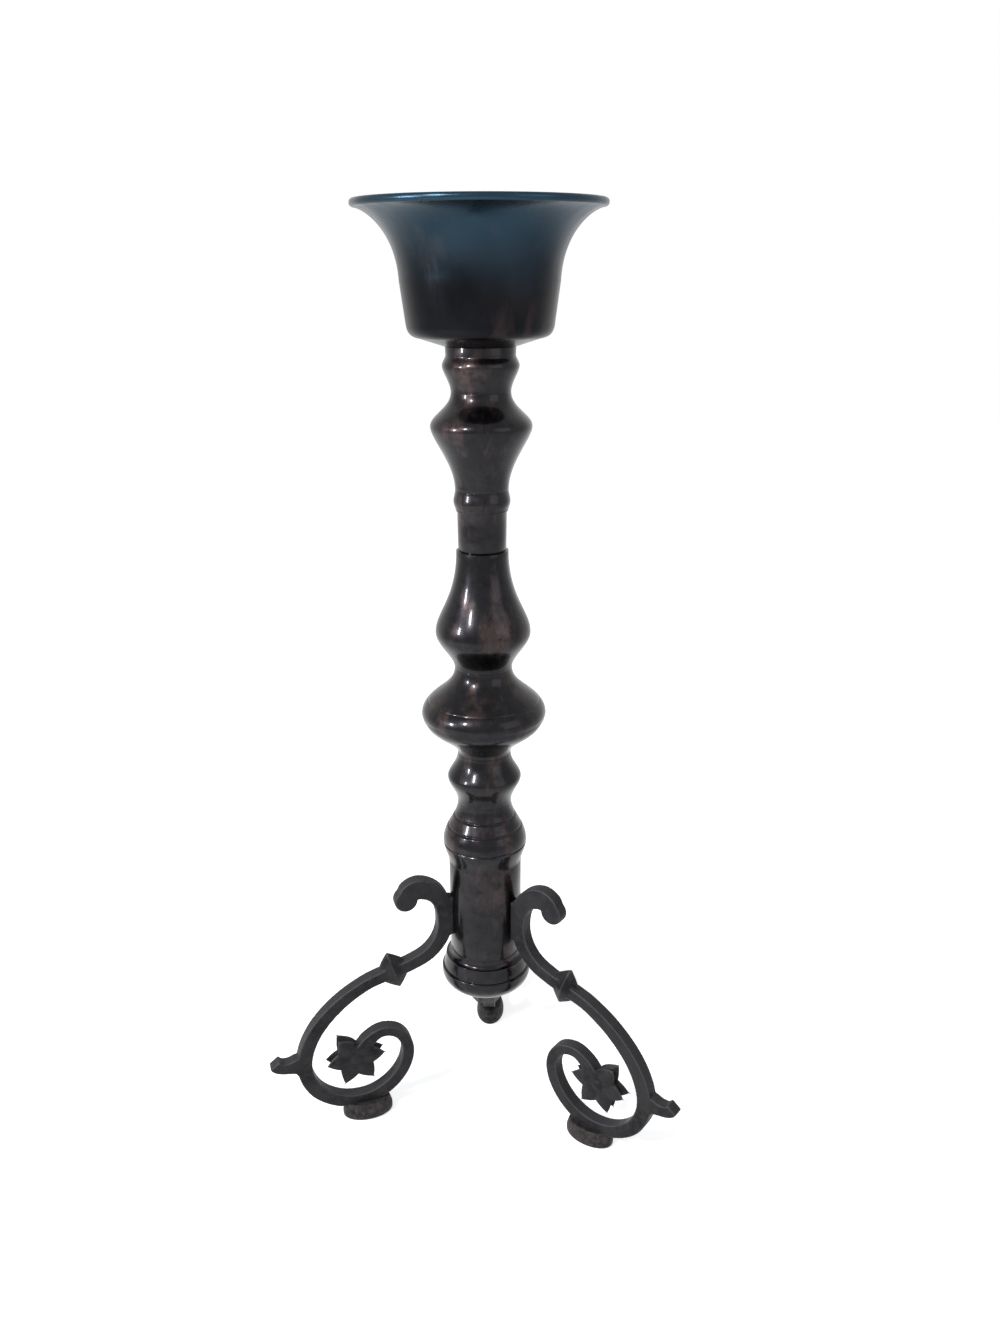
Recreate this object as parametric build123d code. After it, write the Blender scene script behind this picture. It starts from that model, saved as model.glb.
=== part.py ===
from build123d import *
import math
import os

# Taper candlestick: a turned column of eight hollow sections under a bell cup,
# drawn together by one threaded rod and carried by three cast scroll legs.
# Millimetres, +Z up. The origin is on the floor, on the axis of the column.

# Column: heights of the sections, from the drum upwards
DRUM_FOOT_HEIGHT = 101.0
DRUM_LENGTH = 56.0
RINGED_KNOP_HEIGHT = 36.0
SMALL_KNOP_HEIGHT = 29.0
DISC_KNOP_HEIGHT = 48.5
VASE_HEIGHT = 63.0
UPPER_STEM_HEIGHT = 31.0
UPPER_KNOP_HEIGHT = 48.0
NECK_HEIGHT = 21.5
CUP_HEIGHT = 66.0

# Column: radii at the largest and smallest places
DRUM_RADIUS = 20.1
RINGED_KNOP_RADIUS = 23.1
SMALL_KNOP_RADIUS = 20.0
DISC_KNOP_RADIUS = 33.2
VASE_RADIUS = 24.9
UPPER_KNOP_RADIUS = 25.3
NECK_BEAD_RADIUS = 18.9
STEM_BEAD_RADIUS = 14.4
STEM_RADIUS = 12.3
WAIST_UNDER_SMALL_KNOP = 14.7
WAIST_UNDER_DISC_KNOP = 14.4
WAIST_UNDER_VASE = 15.2
WAIST_UNDER_UPPER_KNOP = 13.5
WAIST_UNDER_NECK = 14.8
NECK_TOP_RADIUS = 17.3

# Column: turned details
RING_GROOVE_DEPTH = 0.7
RING_GROOVE_WIDTH = 1.6
DISC_LEDGE_STEP = 0.9
DISC_RING = (29.6, 30.2)
KNOP_RINGS = ((23.1, 11.0), (19.9, 21.2), (16.9, 27.6))
STEM_LEDGE_STEP = 1.1

# Registers between sections
SPIGOT_RADIUS = 9.0
SPIGOT_HEIGHT = 4.0
REGISTER_CLEARANCE = 0.1
REGISTER_END_GAP = 0.4
SPIGOT_CHAMFER = 0.5

# Tie rod and its nut
ROD_RADIUS = 5.0
ROD_BORE_CLEARANCE = 0.3
ROD_END_BELOW_NUT = 2.5
ROD_CHAMFER = 0.8
NUT_ACROSS_FLATS = 16.0
NUT_HEIGHT = 8.0
NUT_CHAMFER = 0.9
NUT_WASHER_RADIUS = 11.0
NUT_WASHER_THICKNESS = 2.0

# Drum and collar
DRUM_WALL = 4.0
DRUM_TOP_PLATE = 6.0
COLLAR_HEIGHT = 26.0
COLLAR_RADIUS = 25.3
COLLAR_BAND_RADIUS = 22.8
COLLAR_FOOT_RADIUS = 13.5
COLLAR_SPIGOT_HEIGHT = 6.0
COLLAR_WALL = 4.0

# Bell cup
CUP_RIM_RADIUS = 60.3
CUP_BODY_RADIUS = 38.4
CUP_FOOT_RADIUS = 35.7
CUP_CORNER_RADIUS = 5.6
CUP_WALL = 2.2
CUP_FLOOR = 3.6
CUP_LIP_THICKNESS = 3.6
CUP_LIP_ROLL = 1.4
CUP_FLARE_HEIGHT = 36.0
CUP_FLARE_RISE = 21.5
CUP_FLARE_SWEEP = 6.6
CUP_FOOT_RISE = 4.0

# Candle socket and its washer
CANDLE_RADIUS = 11.0
CANDLE_CLEARANCE = 0.3
SOCKET_WALL = 2.5
SOCKET_DEPTH = 28.0
SOCKET_FLOOR = 10.0
SOCKET_FLANGE_RADIUS = 16.5
SOCKET_FLANGE_THICKNESS = 2.5
SOCKET_LIP = 0.8
ROD_END_GAP = 1.0
SOCKET_THREAD_END = 2.0
CUP_WASHER_RADIUS = 19.0
CUP_WASHER_THICKNESS = 1.5

# Legs
LEG_DIRECTIONS = {"left": 196.0, "right": -37.0, "back": 88.0}
LEG_THICKNESS = 7.0
SADDLE_ABOVE_DRUM_FOOT = 11.0
SADDLE_HEIGHT = 24.0
SADDLE_DEPTH = 6.5
SADDLE_SINK = 2.0
KNUCKLE_HALF_HEIGHT = 9.6
KNUCKLE_HALF_DEPTH = 5.4
KNUCKLE_HOLLOW = 0.35
KNUCKLE_SIDE_LENGTH = 11.2
KNUCKLE_PLAN_LENGTH = 13.3
FLOWER_PETAL_LENGTH = 16.5
FLOWER_PETAL_WIDTH = 9.5
FLOWER_PETAL_THICKNESS = 3.4
FLOWER_PETAL_FLARE = 24.0
FLOWER_HEART_RADIUS = 5.0

# Centre line of a leg: distance out from the drum, height, and width of the bar.
# It runs from the top scroll over the back, along the arc and round the volute.
# The top scroll's heights are above the drum's foot, the others above the floor.
TOP_SCROLL = [
    (26.4, 36.8, 8.0),
    (24.4, 41.3, 10.4),
    (18.4, 42.9, 11.2),
    (10.6, 39.4, 10.0),
    (6.2, 32.8, 9.0),
    (4.5, 24.5, 8.4),
    (4.9, 16.0, 8.0),
    (8.4, 7.4, 7.4),
    (15.0, 0.4, 6.9),
    (24.0, -4.0, 6.6),
]
LONG_ARC = [
    (34.7, 93.6, 6.5),
    (50.9, 88.4, 6.1),
    (68.4, 77.0, 6.8),
    (82.2, 60.8, 7.4),
    (88.2, 42.0, 7.8),
]
VOLUTE = [
    (83.6, 25.6, 7.5),
    (71.9, 15.1, 7.1),
    (57.0, 11.6, 6.9),
    (42.6, 16.0, 6.7),
    (31.8, 27.2, 6.4),
    (28.2, 40.6, 6.1),
    (32.6, 51.6, 5.6),
    (42.4, 55.2, 5.2),
    (51.0, 50.6, 6.4),
    (57.0, 43.0, 8.0),
]
SCROLL_EYE_RADIUS = 6.5
SPUR_TIP = (106.6, 45.0)
SPUR_ROOT_TOP = (92.6, 49.6)
SPUR_ROOT_BOTTOM = (92.8, 37.0)
SPUR_TIP_HEIGHT = 5.6
FLOWER_CENTRE = (58.8, 40.4)
FLOWER_FIRST_PETAL = 55.0
FLOWER_PETALS = 5
FLOWER_PETAL_STEP = 60.0

# Screws that hold a leg to the drum
LEG_SCREW_FIRST = 17.5
LEG_SCREW_SPACING = 11.0
LEG_SCREW_RADIUS = 2.5
LEG_SCREW_BORE_CLEARANCE = 0.2
LEG_SCREW_BITE = 5.0
LEG_SCREW_HEAD_RADIUS = 4.2
LEG_SCREW_HEAD_HEIGHT = 2.8
SCREW_SLOT_WIDTH = 1.0
SCREW_SLOT_DEPTH = 1.1
SPOT_FACE_DEPTH = 0.8

# Foot pads
PAD_OUT = 53.0
PAD_HALF_LENGTH = 14.6
PAD_HALF_WIDTH = 8.8
PAD_TOP_HALF_LENGTH = 13.0
PAD_TOP_HALF_WIDTH = 7.4
PAD_HEIGHT = 10.0
PAD_WAIST_HEIGHT = 5.0
PAD_EDGE = 2.4
PAD_SCREW_RADIUS = 2.0
PAD_SCREW_HEAD_RADIUS = 3.6
PAD_SCREW_HEAD_HEIGHT = 1.8
PAD_SCREW_RECESS = 0.8
PAD_SCREW_BITE = 3.5

# Heights that follow from the sections
RINGED_KNOP_FOOT = DRUM_FOOT_HEIGHT + DRUM_LENGTH
SMALL_KNOP_FOOT = RINGED_KNOP_FOOT + RINGED_KNOP_HEIGHT
DISC_KNOP_FOOT = SMALL_KNOP_FOOT + SMALL_KNOP_HEIGHT
VASE_FOOT = DISC_KNOP_FOOT + DISC_KNOP_HEIGHT
UPPER_STEM_FOOT = VASE_FOOT + VASE_HEIGHT
UPPER_KNOP_FOOT = UPPER_STEM_FOOT + UPPER_STEM_HEIGHT
NECK_FOOT = UPPER_KNOP_FOOT + UPPER_KNOP_HEIGHT
CUP_FOOT = NECK_FOOT + NECK_HEIGHT
COLLAR_FOOT = DRUM_FOOT_HEIGHT - COLLAR_HEIGHT
ROD_BORE = ROD_RADIUS + ROD_BORE_CLEARANCE
CUP_WASHER_FOOT = CUP_FOOT + CUP_FLOOR
SOCKET_FOOT = CUP_WASHER_FOOT + CUP_WASHER_THICKNESS
NUT_WASHER_FOOT = COLLAR_FOOT - NUT_WASHER_THICKNESS
NUT_FOOT = NUT_WASHER_FOOT - NUT_HEIGHT
ROD_THREAD_TOP = SOCKET_FLOOR - SOCKET_THREAD_END
SADDLE_LOW = DRUM_FOOT_HEIGHT + SADDLE_ABOVE_DRUM_FOOT
FIRST_SCREW = DRUM_FOOT_HEIGHT + LEG_SCREW_FIRST
LEG_SCREW_HEIGHTS = (FIRST_SCREW, FIRST_SCREW + LEG_SCREW_SPACING)
UPPER_ROWS = [(out, DRUM_FOOT_HEIGHT + rise, width) for out, rise, width in TOP_SCROLL]


def ogee(lower, upper, reach_lower, reach_upper):
    """Turned curve between two places where the wall stands upright."""
    (r0, z0), (r1, z1) = lower, upper
    return Bezier((r0, z0), (r0, z0 + reach_lower), (r1, z1 - reach_upper), (r1, z1))


def turn(edges):
    """Revolve a closed outline of (radius, height) edges about the column axis."""
    return revolve(Plane.XZ * Face(Wire(edges)), axis=Axis.Z)


def section(outline, height, spigot_height=SPIGOT_HEIGHT):
    """One bored column section: the outline runs from its foot to its top."""
    start = outline[0].position_at(0)
    end = outline[-1].position_at(1)
    top = height + spigot_height
    counterbore = SPIGOT_RADIUS + REGISTER_CLEARANCE
    depth = SPIGOT_HEIGHT + REGISTER_END_GAP
    inner = [(end.X, height), (SPIGOT_RADIUS, height), (SPIGOT_RADIUS, top - SPIGOT_CHAMFER)]
    inner += [(SPIGOT_RADIUS - SPIGOT_CHAMFER, top), (ROD_BORE, top)]
    inner += [(ROD_BORE, depth), (counterbore, depth), (counterbore, 0), (start.X, 0)]
    return turn(list(outline) + Polyline(*inner).edges())


def ring_groove(radius, height):
    """Ring cutter for one turned line round a knop."""
    half = RING_GROOVE_WIDTH / 2
    deep = radius - RING_GROOVE_DEPTH
    outside = radius + 2 * RING_GROOVE_DEPTH
    high, low = height + 3 * half, height - 3 * half
    edges = Polyline((deep, height), (outside, high), (outside, low), (deep, height))
    return turn(edges.edges())


def neck_piece():
    bead = (NECK_BEAD_RADIUS, NECK_HEIGHT - 9.0)
    quirk = (NECK_TOP_RADIUS - 0.2, NECK_HEIGHT - 4.0)
    outline = [
        ogee((WAIST_UNDER_NECK, 0), bead, 4.5, 3.1),
        ogee(bead, quirk, 1.8, 1.2),
        Line(quirk, (NECK_TOP_RADIUS, NECK_HEIGHT)),
    ]
    return section(outline, NECK_HEIGHT, spigot_height=CUP_FLOOR - REGISTER_END_GAP)


def upper_knop():
    widest = (UPPER_KNOP_RADIUS, UPPER_KNOP_HEIGHT - 16.5)
    outline = [
        ogee((WAIST_UNDER_UPPER_KNOP, 0), widest, 13.3, 5.9),
        ogee(widest, (WAIST_UNDER_NECK, UPPER_KNOP_HEIGHT), 5.5, 7.7),
    ]
    return section(outline, UPPER_KNOP_HEIGHT)


def upper_stem():
    bead = (STEM_BEAD_RADIUS, UPPER_STEM_HEIGHT - 5.5)
    bead_foot = (STEM_RADIUS + 0.3, UPPER_STEM_HEIGHT - 10.5)
    outline = [
        Line((STEM_RADIUS, 0), bead_foot),
        Line(bead_foot, (bead_foot[0] + 0.7, bead_foot[1])),
        ogee((bead_foot[0] + 0.7, bead_foot[1]), bead, 1.6, 2.2),
        ogee(bead, (WAIST_UNDER_UPPER_KNOP, UPPER_STEM_HEIGHT), 1.8, 1.8),
    ]
    return section(outline, UPPER_STEM_HEIGHT)


def vase_section():
    widest = (VASE_RADIUS, 19.5)
    ledge = (STEM_RADIUS + STEM_LEDGE_STEP, VASE_HEIGHT)
    outline = [
        ogee((WAIST_UNDER_VASE, 0), widest, 6.5, 6.5),
        ogee(widest, ledge, 10.0, 25.0),
    ]
    return section(outline, VASE_HEIGHT)


def disc_knop():
    widest = (DISC_KNOP_RADIUS, 22.8)
    ledge_top = (DISC_KNOP_RADIUS - 0.6, 19.9)
    ledge_foot = (ledge_top[0] - DISC_LEDGE_STEP, ledge_top[1])
    outline = [
        Bezier((WAIST_UNDER_DISC_KNOP, 0), (WAIST_UNDER_DISC_KNOP, 7.2),
               (DISC_KNOP_RADIUS - 1.2, 12.4), ledge_foot),
        Line(ledge_foot, ledge_top),
        ogee(ledge_top, widest, 1.0, 1.0),
        ogee(widest, (WAIST_UNDER_VASE, DISC_KNOP_HEIGHT), 10.6, 12.0),
    ]
    return section(outline, DISC_KNOP_HEIGHT) - ring_groove(*DISC_RING)


def small_knop():
    widest = (SMALL_KNOP_RADIUS, 14.6)
    outline = [
        ogee((WAIST_UNDER_SMALL_KNOP, 0), widest, 6.0, 4.0),
        ogee(widest, (WAIST_UNDER_DISC_KNOP, SMALL_KNOP_HEIGHT), 3.4, 7.0),
    ]
    return section(outline, SMALL_KNOP_HEIGHT)


def ringed_knop():
    widest = (RINGED_KNOP_RADIUS, 12.0)
    outline = [
        ogee((DRUM_RADIUS + 0.2, 0), widest, 3.0, 4.4),
        ogee(widest, (WAIST_UNDER_SMALL_KNOP, RINGED_KNOP_HEIGHT), 9.0, 9.0),
    ]
    knop = section(outline, RINGED_KNOP_HEIGHT)
    for ring in KNOP_RINGS:
        knop -= ring_groove(*ring)
    return knop


def base_drum():
    """Plain tube with a bored top plate; the legs are screwed to its wall."""
    inside = DRUM_RADIUS - DRUM_WALL
    ceiling = DRUM_LENGTH - DRUM_TOP_PLATE
    top = DRUM_LENGTH + SPIGOT_HEIGHT
    outline = Polyline(
        (inside, 0), (DRUM_RADIUS, 0), (DRUM_RADIUS, DRUM_LENGTH), (SPIGOT_RADIUS, DRUM_LENGTH),
        (SPIGOT_RADIUS, top - SPIGOT_CHAMFER), (SPIGOT_RADIUS - SPIGOT_CHAMFER, top),
        (ROD_BORE, top), (ROD_BORE, ceiling), (inside, ceiling), (inside, 0),
    )
    drum = Pos(0, 0, DRUM_FOOT_HEIGHT) * turn(outline.edges())
    bore = LEG_SCREW_RADIUS + LEG_SCREW_BORE_CLEARANCE
    for direction in LEG_DIRECTIONS.values():
        for height in LEG_SCREW_HEIGHTS:
            place = Rot(0, 0, direction) * Pos(0, 0, height) * Rot(0, 90, 0)
            drum -= place * Cylinder(bore, 2 * DRUM_RADIUS, align=(Align.CENTER, Align.CENTER, Align.MIN))
            drum -= place * Cylinder(
                LEG_SCREW_HEAD_RADIUS + REGISTER_CLEARANCE, inside_flat(), align=(Align.CENTER, Align.CENTER, Align.MIN)
            )
    return drum


def inside_flat():
    """Distance from the column axis to the flat that a leg screw's head bears on."""
    return DRUM_RADIUS - DRUM_WALL + SPOT_FACE_DEPTH


def base_collar():
    """Flared collar: cove, band, lip and rounded underside, hollow above."""
    lip = (COLLAR_RADIUS, 11.0)
    band_foot = (COLLAR_RADIUS - 0.5, 14.0)
    band_top = (COLLAR_BAND_RADIUS, 21.5)
    spigot = DRUM_RADIUS - DRUM_WALL - REGISTER_CLEARANCE
    top = COLLAR_HEIGHT + COLLAR_SPIGOT_HEIGHT
    hollow_floor = COLLAR_WALL + 4.0
    hollow = spigot - COLLAR_WALL
    outline = [
        Bezier((COLLAR_FOOT_RADIUS, 0), (COLLAR_RADIUS - 4.0, 1.2), (COLLAR_RADIUS, 6.0), lip),
        Line(lip, (COLLAR_RADIUS, 13.4)),
        Line((COLLAR_RADIUS, 13.4), band_foot),
        ogee(band_foot, band_top, 2.0, 1.0),
        Line(band_top, (COLLAR_BAND_RADIUS - 0.8, band_top[1])),
        Bezier((COLLAR_BAND_RADIUS - 0.8, band_top[1]), (DRUM_RADIUS + 0.4, 22.2), (DRUM_RADIUS, 23.4),
               (DRUM_RADIUS, COLLAR_HEIGHT)),
    ]
    inner = Polyline(
        (DRUM_RADIUS, COLLAR_HEIGHT), (spigot, COLLAR_HEIGHT), (spigot, top - SPIGOT_CHAMFER),
        (spigot - SPIGOT_CHAMFER, top), (hollow, top), (hollow, hollow_floor), (ROD_BORE, hollow_floor),
        (ROD_BORE, 0), (COLLAR_FOOT_RADIUS, 0),
    )
    return Pos(0, 0, COLLAR_FOOT) * turn(outline + inner.edges())


def cup_side(wall):
    """Outer side of the cup, or the inner one a wall inside it, from corner to lip."""
    corner_low = (CUP_FOOT_RADIUS - CUP_CORNER_RADIUS, CUP_FOOT_RISE + wall)
    corner_high = (CUP_FOOT_RADIUS - wall, CUP_FOOT_RISE + CUP_CORNER_RADIUS)
    flare_foot = (CUP_BODY_RADIUS - wall, CUP_HEIGHT - CUP_FLARE_HEIGHT)
    lip = (CUP_RIM_RADIUS - CUP_LIP_ROLL, CUP_HEIGHT - CUP_LIP_THICKNESS + wall)
    soft = CUP_CORNER_RADIUS - wall
    return [
        Bezier(corner_low, (corner_low[0] + 0.7 * soft, corner_low[1] + 0.1 * soft),
               (corner_high[0] - 0.1 * soft, corner_high[1] - 0.5 * soft), corner_high),
        Line(corner_high, flare_foot),
        Bezier(flare_foot, (flare_foot[0] + 1.0, flare_foot[1] + CUP_FLARE_RISE),
               (lip[0] - CUP_FLARE_SWEEP, lip[1] - 1.2), lip),
    ]


def bell_cup():
    """Thin bell-mouthed shell with a rolled lip and a bored floor."""
    outer = cup_side(0)
    inner = cup_side(CUP_WALL)
    foot = Vector(NECK_TOP_RADIUS, 0)
    bore = SPIGOT_RADIUS + REGISTER_CLEARANCE
    seat = CUP_WASHER_RADIUS + 1.0
    lip_foot = outer[-1].position_at(1)
    lip_top = Vector(CUP_RIM_RADIUS - CUP_LIP_ROLL, CUP_HEIGHT)
    roll = Vector(CUP_RIM_RADIUS, CUP_HEIGHT - CUP_LIP_THICKNESS / 2)
    inner_lip = inner[-1].position_at(1)
    inner_corner = inner[0].position_at(0)
    edges = [Line(foot, outer[0].position_at(0))] + outer
    edges += [ThreePointArc(lip_foot, roll, lip_top), Line(lip_top, inner_lip)] + inner
    edges += Polyline(inner_corner, (seat, CUP_FLOOR), (bore, CUP_FLOOR), (bore, 0), foot).edges()
    return Pos(0, 0, CUP_FOOT) * turn(edges)


def cup_washer():
    washer = Cylinder(CUP_WASHER_RADIUS, CUP_WASHER_THICKNESS, align=(Align.CENTER, Align.CENTER, Align.MIN))
    washer -= Cylinder(ROD_BORE, 3 * CUP_WASHER_THICKNESS)
    return Pos(0, 0, CUP_WASHER_FOOT) * washer


def candle_socket():
    """Turned tube for the taper, screwed down on the rod's top end."""
    bore = CANDLE_RADIUS + CANDLE_CLEARANCE
    outside = bore + SOCKET_WALL
    top = SOCKET_FLOOR + SOCKET_DEPTH
    flange = SOCKET_FLANGE_THICKNESS
    outline = Polyline(
        (ROD_RADIUS, 0), (SOCKET_FLANGE_RADIUS, 0), (SOCKET_FLANGE_RADIUS, flange), (outside, flange + 1.5),
        (outside, top - 2.4), (outside + SOCKET_LIP, top - 1.6), (outside + SOCKET_LIP, top),
        (bore, top), (bore, SOCKET_FLOOR), (0, SOCKET_FLOOR), (0, ROD_THREAD_TOP), (ROD_RADIUS, ROD_THREAD_TOP),
        (ROD_RADIUS, 0),
    )
    return Pos(0, 0, SOCKET_FOOT) * turn(outline.edges())


def tie_rod():
    low = NUT_FOOT - ROD_END_BELOW_NUT
    high = SOCKET_FOOT + ROD_THREAD_TOP - ROD_END_GAP
    inner = ROD_RADIUS - ROD_CHAMFER
    outline = Polyline(
        (0, low), (inner, low), (ROD_RADIUS, low + ROD_CHAMFER), (ROD_RADIUS, high - ROD_CHAMFER),
        (inner, high), (0, high), (0, low),
    )
    return turn(outline.edges())


def tie_rod_washer():
    washer = Cylinder(NUT_WASHER_RADIUS, NUT_WASHER_THICKNESS, align=(Align.CENTER, Align.CENTER, Align.MIN))
    washer -= Cylinder(ROD_BORE, 3 * NUT_WASHER_THICKNESS)
    return Pos(0, 0, NUT_WASHER_FOOT) * washer


def tie_rod_nut():
    """Hexagon nut with both ends turned to a chamfer."""
    corner = NUT_ACROSS_FLATS / 2 / math.cos(math.radians(30))
    blank = extrude(RegularPolygon(corner, 6), NUT_HEIGHT)
    turned = Polyline(
        (0, 0), (corner - NUT_CHAMFER, 0), (corner, NUT_CHAMFER / 2), (corner, NUT_HEIGHT - NUT_CHAMFER / 2),
        (corner - NUT_CHAMFER, NUT_HEIGHT), (0, NUT_HEIGHT), (0, 0),
    )
    nut = blank & turn(turned.edges())
    nut -= Cylinder(ROD_RADIUS, 4 * NUT_HEIGHT)
    return Pos(0, 0, NUT_FOOT) * nut


def plate(edges):
    """Flat cast plate in the leg's plane, centred on it."""
    return extrude(Plane.XZ * Face(Wire(edges)), LEG_THICKNESS / 2, both=True)


def scroll_bar():
    """The bar that makes both scrolls, its width varying along one centre line."""
    rows = [(DRUM_RADIUS + out, up, width) for out, up, width in UPPER_ROWS + LONG_ARC + VOLUTE]
    middle = Spline([(out, up) for out, up, width in rows])
    upper_side, lower_side = [], []
    for out, up, width in rows:
        along = middle.tangent_at(middle.param_at_point((out, up)))
        across = Vector(-along.Y, along.X) * (width / 2)
        upper_side.append(Vector(out, up) + across)
        lower_side.append(Vector(out, up) - across)
    cap = Vector(rows[0][0], rows[0][1]) - middle.tangent_at(0) * (rows[0][2] / 2)
    return plate([
        Spline(upper_side),
        Line(upper_side[-1], lower_side[-1]),
        Spline(lower_side),
        ThreePointArc(lower_side[0], cap, upper_side[0]),
    ])


def scroll_eye():
    """Round end of the top scroll, where the bar's centre line begins."""
    out, up, width = UPPER_ROWS[0]
    return Pos(DRUM_RADIUS + out, 0, up) * Rot(90, 0, 0) * Cylinder(SCROLL_EYE_RADIUS, LEG_THICKNESS)


def spur_outline():
    """Closed outline of the upturned spur at the heel."""
    tip = Vector(DRUM_RADIUS + SPUR_TIP[0], SPUR_TIP[1])
    top = Vector(DRUM_RADIUS + SPUR_ROOT_TOP[0], SPUR_ROOT_TOP[1])
    bottom = Vector(DRUM_RADIUS + SPUR_ROOT_BOTTOM[0], SPUR_ROOT_BOTTOM[1])
    heel = Vector(DRUM_RADIUS + LONG_ARC[-1][0], LONG_ARC[-1][1])
    lip_top = tip + Vector(-0.6, SPUR_TIP_HEIGHT / 2)
    lip_bottom = tip + Vector(-2.6, -SPUR_TIP_HEIGHT / 2)
    return [
        Spline(top, lip_top + Vector(-6.6, -1.2), lip_top),
        ThreePointArc(lip_top, tip + Vector(0.9, 0), lip_bottom),
        Spline(lip_bottom, lip_bottom + Vector(-5.6, -1.4), bottom),
        Line(bottom, heel),
        Line(heel, top),
    ]


def hollow_lozenge(half_length, half_height):
    """Four-pointed outline whose sides are hollow."""
    k = KNUCKLE_HOLLOW
    points = [(half_length, 0), (0, half_height), (-half_length, 0), (0, -half_height)]
    edges = []
    for (x0, y0), (x1, y1) in zip(points, points[1:] + points[:1]):
        edges.append(ThreePointArc((x0, y0), ((x0 + x1) * k, (y0 + y1) * k), (x1, y1)))
    return edges


def knuckle():
    """Ridged collar round the bar, pointed above and below, with hollow flanks."""
    out, up, width = LONG_ARC[0]
    before, after = UPPER_ROWS[-1], LONG_ARC[1]
    slope = math.degrees(math.atan2(after[1] - before[1], after[0] - before[0]))
    side = hollow_lozenge(KNUCKLE_SIDE_LENGTH, KNUCKLE_HALF_HEIGHT)
    plan = hollow_lozenge(KNUCKLE_PLAN_LENGTH, KNUCKLE_HALF_DEPTH)
    ridge = extrude(Plane.XZ * Face(Wire(side)), KNUCKLE_HALF_DEPTH, both=True)
    ridge &= extrude(Face(Wire(plan)), KNUCKLE_HALF_HEIGHT, both=True)
    return Pos(DRUM_RADIUS + out, 0, up) * Rot(0, -slope, 0) * ridge


def petal():
    """One pointed petal lying along +X from the flower's heart."""
    half = FLOWER_PETAL_WIDTH / 2
    tip = FLOWER_PETAL_LENGTH
    edges = [
        Bezier((0, -half * 0.4), (tip * 0.30, -half * 1.5), (tip * 0.74, -half), (tip, 0)),
        Bezier((tip, 0), (tip * 0.74, half), (tip * 0.30, half * 1.5), (0, half * 0.4)),
        Line((0, half * 0.4), (0, -half * 0.4)),
    ]
    leaf = extrude(Plane.XZ * Face(Wire(edges)), FLOWER_PETAL_THICKNESS / 2, both=True)
    return chamfer(leaf.edges().filter_by(GeomType.LINE, reverse=True), FLOWER_PETAL_THICKNESS * 0.25)


def flower():
    """Flower at the end of the volute: a heart and two whorls of petals."""
    leaf = petal()
    centre = Pos(DRUM_RADIUS + FLOWER_CENTRE[0], 0, FLOWER_CENTRE[1])
    bloom = centre * Rot(90, 0, 0) * Cylinder(FLOWER_HEART_RADIUS, LEG_THICKNESS + 2.0)
    for index in range(FLOWER_PETALS):
        turn_angle = FLOWER_FIRST_PETAL - index * FLOWER_PETAL_STEP
        for side in (-1, 1):
            flare = Rot(0, 0, side * FLOWER_PETAL_FLARE)
            root = Pos(0, side * LEG_THICKNESS * 0.2, 0)
            bloom += centre * Rot(0, -turn_angle, 0) * root * flare * leaf
    return bloom


def saddle():
    """Cast pad between the bar's back and the round wall of the drum."""
    block = Box(SADDLE_DEPTH, LEG_THICKNESS, SADDLE_HEIGHT, align=(Align.MIN, Align.CENTER, Align.MIN))
    return Pos(DRUM_RADIUS - SADDLE_SINK, 0, SADDLE_LOW) * block


def leg():
    """Cast scroll leg in the XZ plane, reaching out along +X."""
    body = scroll_bar()
    body += scroll_eye()
    body += plate(spur_outline())
    body += saddle()
    body += knuckle()
    body += flower()
    body -= Pos(0, 0, SADDLE_LOW) * Cylinder(DRUM_RADIUS, 8 * SADDLE_HEIGHT)
    landing = Box(4 * PAD_HALF_LENGTH, 4 * PAD_HALF_WIDTH, PAD_HEIGHT, align=(Align.CENTER, Align.CENTER, Align.MIN))
    body -= Pos(DRUM_RADIUS + PAD_OUT, 0, 0) * landing
    for height in LEG_SCREW_HEIGHTS:
        tapped = Cylinder(LEG_SCREW_RADIUS, DRUM_RADIUS + LEG_SCREW_BITE, align=(Align.CENTER, Align.CENTER, Align.MIN))
        body -= Pos(0, 0, height) * Rot(0, 90, 0) * tapped
    foot_hole = Cylinder(PAD_SCREW_RADIUS, PAD_SCREW_BITE, align=(Align.CENTER, Align.CENTER, Align.MIN))
    body -= Pos(DRUM_RADIUS + PAD_OUT, 0, PAD_HEIGHT) * foot_hole
    return body


def leg_screws():
    """Two slotted screws that pass out through the drum wall into a leg."""
    reach = DRUM_RADIUS - inside_flat() + LEG_SCREW_BITE
    head = Cylinder(LEG_SCREW_HEAD_RADIUS, LEG_SCREW_HEAD_HEIGHT, align=(Align.CENTER, Align.CENTER, Align.MAX))
    head -= Pos(0, 0, -LEG_SCREW_HEAD_HEIGHT) * Box(4 * LEG_SCREW_HEAD_RADIUS, SCREW_SLOT_WIDTH, 2 * SCREW_SLOT_DEPTH)
    screw = head + Cylinder(LEG_SCREW_RADIUS, reach, align=(Align.CENTER, Align.CENTER, Align.MIN))
    return [Pos(inside_flat(), 0, height) * Rot(0, 90, 0) * screw for height in LEG_SCREW_HEIGHTS]


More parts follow.
